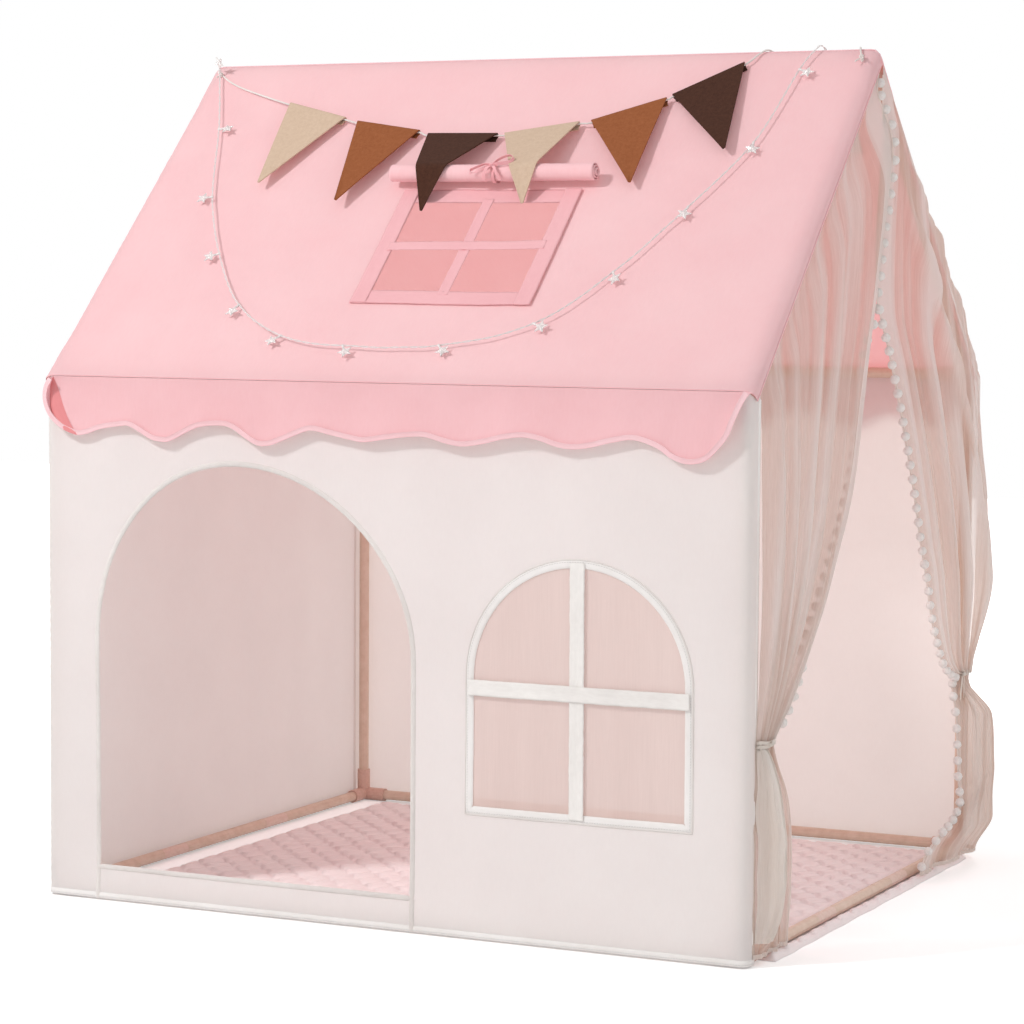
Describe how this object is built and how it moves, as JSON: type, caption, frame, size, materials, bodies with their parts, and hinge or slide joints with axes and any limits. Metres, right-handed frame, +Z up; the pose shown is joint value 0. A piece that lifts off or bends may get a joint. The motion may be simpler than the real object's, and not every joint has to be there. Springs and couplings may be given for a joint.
{
  "type": "kids play tent",
  "caption": "House-shaped play tent: push-fit tube frame, cloth cover with gable roof, arched doorway, net window, skylight, tied-back gable curtains, quilted mat, bunting and star lights",
  "frame": {"origin": "On the floor under the middle of the tube frame, on the flat underside of the quilted mat", "axes": "+X to the right along the ridge towards the gable with the curtains, +Y to the back away from the wall with the doorway, +Z up"},
  "size_m": [1.2237, 1.0802, 1.3531],
  "materials": {
    "tube": "pale pinkish beech grain, satin",
    "connector": "pinkish beige moulded plastic, satin",
    "wall_cloth": "cream plain-weave cotton, matte",
    "roof_cloth": "pale pink plain-weave cotton, matte",
    "skylight_hem": "deeper pink cotton tape, matte",
    "net": "fine sheer net",
    "binding": "white cotton binding with a fine grey line",
    "tulle": "pale pinkish sheer tulle in fine folds, with white pompon edging",
    "quilt": "pale pink quilted cotton, matte",
    "cord": "white twisted cotton",
    "felt_beige": "beige wool felt",
    "felt_tan": "reddish brown wool felt",
    "felt_dark": "dark brown wool felt",
    "clear_plastic": "clear transparent plastic",
    "box_plastic": "white moulded plastic",
    "switch_plastic": "grey moulded plastic"
  },
  "bodies": {
    "tent": {"base_corner_front_left": "connector", "eave_connector_front_left": "connector", "post_front_left": "tube", "rafter_front_left": "tube", "base_sleeve_left_front": "connector", "base_corner_front_right": "connector", "eave_connector_front_right": "connector", "post_front_right": "tube", "rafter_front_right": "tube", "base_sleeve_right_front": "connector", "base_tube_front": "tube", "eave_rail_front": "tube", "base_corner_rear_left": "connector", "eave_connector_rear_left": "connector", "post_rear_left": "tube", "rafter_rear_left": "tube", "base_sleeve_left_rear": "connector", "base_corner_rear_right": "connector", "eave_connector_rear_right": "connector", "post_rear_right": "tube", "rafter_rear_right": "tube", "base_sleeve_right_rear": "connector", "base_tube_rear": "tube", "eave_rail_rear": "tube", "ridge_connector_left": "connector", "base_tube_left_front": "tube", "base_tube_left_middle": "tube", "base_tube_left_rear": "tube", "ridge_connector_right": "connector", "base_tube_right_front": "tube", "base_tube_right_middle": "tube", "base_tube_right_rear": "tube", "ridge_pole": "tube", "front_wall": "wall_cloth", "rear_wall": "wall_cloth", "left_gable_wall": "wall_cloth", "roof_front": "roof_cloth", "roof_rear": "roof_cloth", "window_net": "net", "window_trim": "binding", "skylight_trim": "skylight_hem", "skylight_cover_roll": "roof_cloth", "skylight_tie_bow": "roof_cloth", "curtain_front": "tulle", "curtain_rear": "tulle", "floor_mat": "quilt", "bunting_cord": "cord", "star_light_string": "clear_plastic", "light_battery_box": "box_plastic"},
    "flag_1": {"bunting_flag_1": "felt_beige"},
    "flag_2": {"bunting_flag_2": "felt_tan"},
    "flag_3": {"bunting_flag_3": "felt_dark"},
    "flag_4": {"bunting_flag_4": "felt_beige"},
    "flag_5": {"bunting_flag_5": "felt_tan"},
    "flag_6": {"bunting_flag_6": "felt_dark"},
    "front_valance": {"valance_front": "roof_cloth"},
    "rear_valance": {"valance_rear": "roof_cloth"},
    "front_tail": {"curtain_tail_front": "tulle"},
    "rear_tail": {"curtain_tail_rear": "tulle"},
    "switch": {"light_switch": "switch_plastic"}
  },
  "joints": [
    {"name": "flag_1_swing", "type": "hinge", "parent": "tent", "child": "flag_1", "pos_m": [-0.34369, -0.10183, 1.25779], "axis": [-0.9502, 0.2219, 0.2189], "range_deg": [0, 140]},
    {"name": "flag_2_swing", "type": "hinge", "parent": "tent", "child": "flag_2", "pos_m": [-0.19568, -0.13129, 1.22875], "axis": [-0.9794, 0.1437, 0.1417], "range_deg": [0, 140]},
    {"name": "flag_3_swing", "type": "hinge", "parent": "tent", "child": "flag_3", "pos_m": [-0.05236, -0.14684, 1.2134], "axis": [-0.9998, 0.0143, 0.0141], "range_deg": [0, 140]},
    {"name": "flag_4_swing", "type": "hinge", "parent": "tent", "child": "flag_4", "pos_m": [0.08436, -0.13876, 1.22138], "axis": [-0.9804, -0.1401, -0.1382], "range_deg": [0, 140]},
    {"name": "flag_5_swing", "type": "hinge", "parent": "tent", "child": "flag_5", "pos_m": [0.22259, -0.11025, 1.2495], "axis": [-0.9129, -0.2906, -0.2866], "range_deg": [0, 140]},
    {"name": "flag_6_swing", "type": "hinge", "parent": "tent", "child": "flag_6", "pos_m": [0.33754, -0.06116, 1.29791], "axis": [-0.8073, -0.4202, -0.4144], "range_deg": [0, 140]},
    {"name": "front_valance_lift", "type": "hinge", "parent": "tent", "child": "front_valance", "pos_m": [0, -0.52731, 0.82824], "axis": [-1, 0, 0], "range_deg": [0, 100]},
    {"name": "rear_valance_lift", "type": "hinge", "parent": "tent", "child": "rear_valance", "pos_m": [0, 0.52731, 0.82824], "axis": [1, 0, 0], "range_deg": [0, 100]},
    {"name": "front_tail_swing", "type": "hinge", "parent": "tent", "child": "front_tail", "pos_m": [0.60935, -0.452, 0.318], "axis": [0, -1, 0], "range_deg": [0, 35]},
    {"name": "rear_tail_swing", "type": "hinge", "parent": "tent", "child": "rear_tail", "pos_m": [0.60935, 0.452, 0.318], "axis": [0, -1, 0], "range_deg": [0, 35]},
    {"name": "switch_slide", "type": "slide", "parent": "tent", "child": "switch", "axis": [0, -0.712, 0.7022], "range_m": [0, 0.004]}
  ]
}
